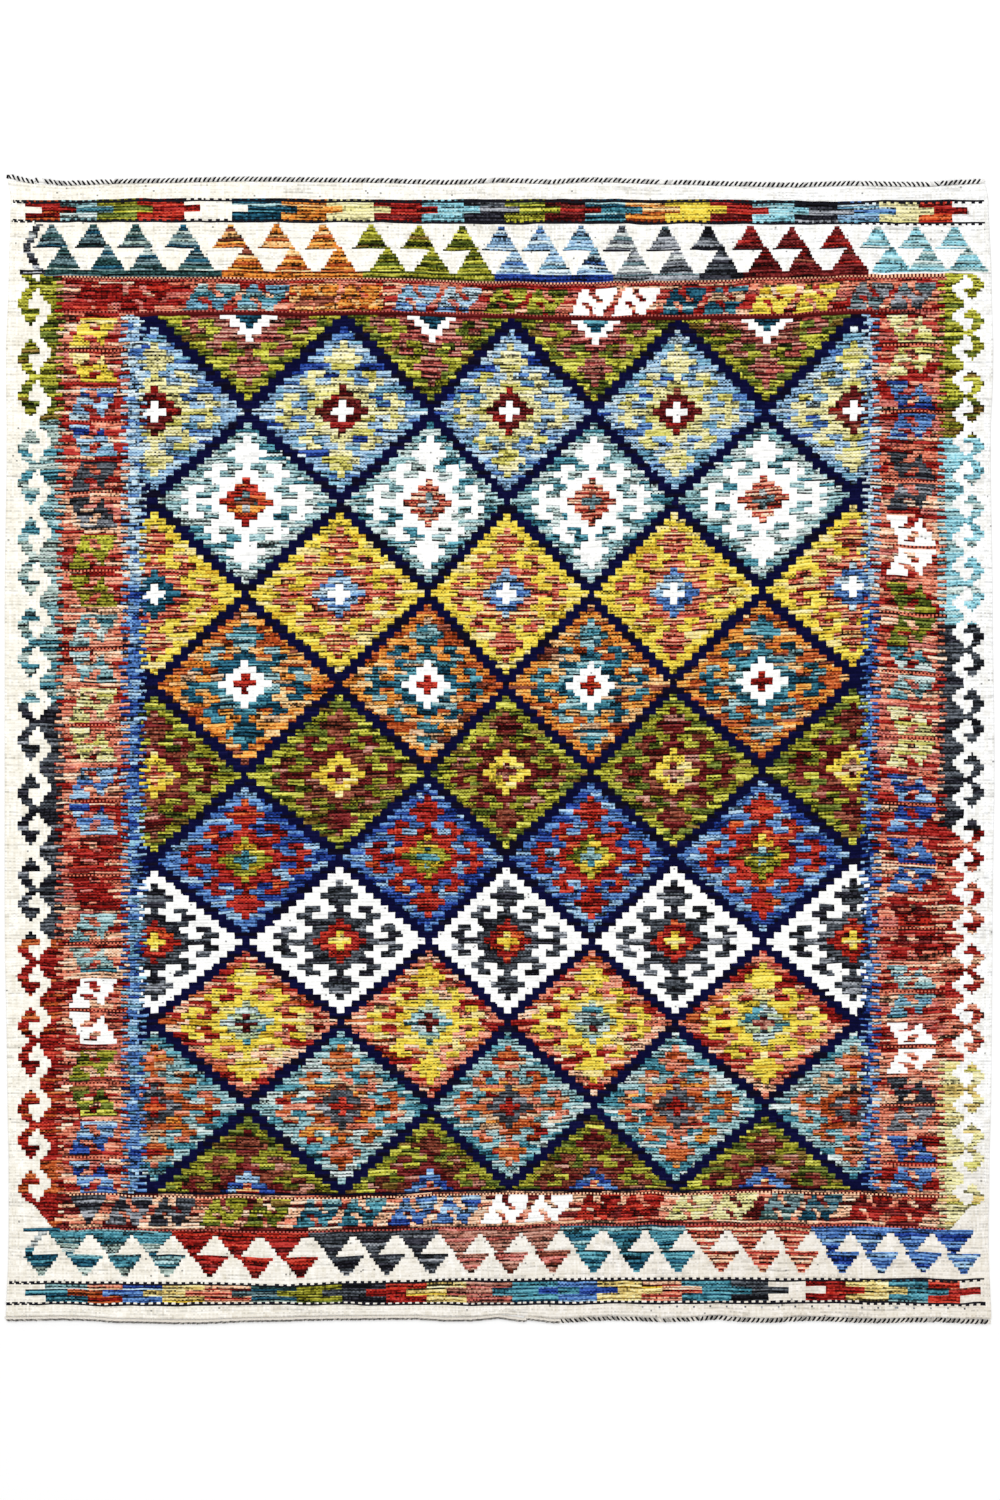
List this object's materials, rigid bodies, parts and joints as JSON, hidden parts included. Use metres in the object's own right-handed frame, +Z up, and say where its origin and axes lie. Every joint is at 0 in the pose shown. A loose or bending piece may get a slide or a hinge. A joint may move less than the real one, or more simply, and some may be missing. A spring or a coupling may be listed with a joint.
{
  "type": "kilim rug",
  "caption": "Flat-woven wool kilim rug lying flat, with a lattice of stepped diamonds, hooked borders, twined rows and an overcast binding along each end.",
  "frame": {"origin": "on the floor, under the middle of the rug's box", "axes": "+X across the rug, +Y along its warps towards the end that is at the top of the picture, +Z up from the floor"},
  "size_m": [1.528, 1.7758, 0.0046],
  "materials": {
    "woven_wool": "matte weft-faced wool tapestry weave in many yarn colours",
    "wrapped_yarn": "matte dark and undyed yarn wrapped over the warp ends"
  },
  "bodies": {
    "root": {"kilim_cloth": "woven_wool", "end_binding_top": "wrapped_yarn", "end_binding_bottom": "wrapped_yarn"}
  },
  "joints": []
}
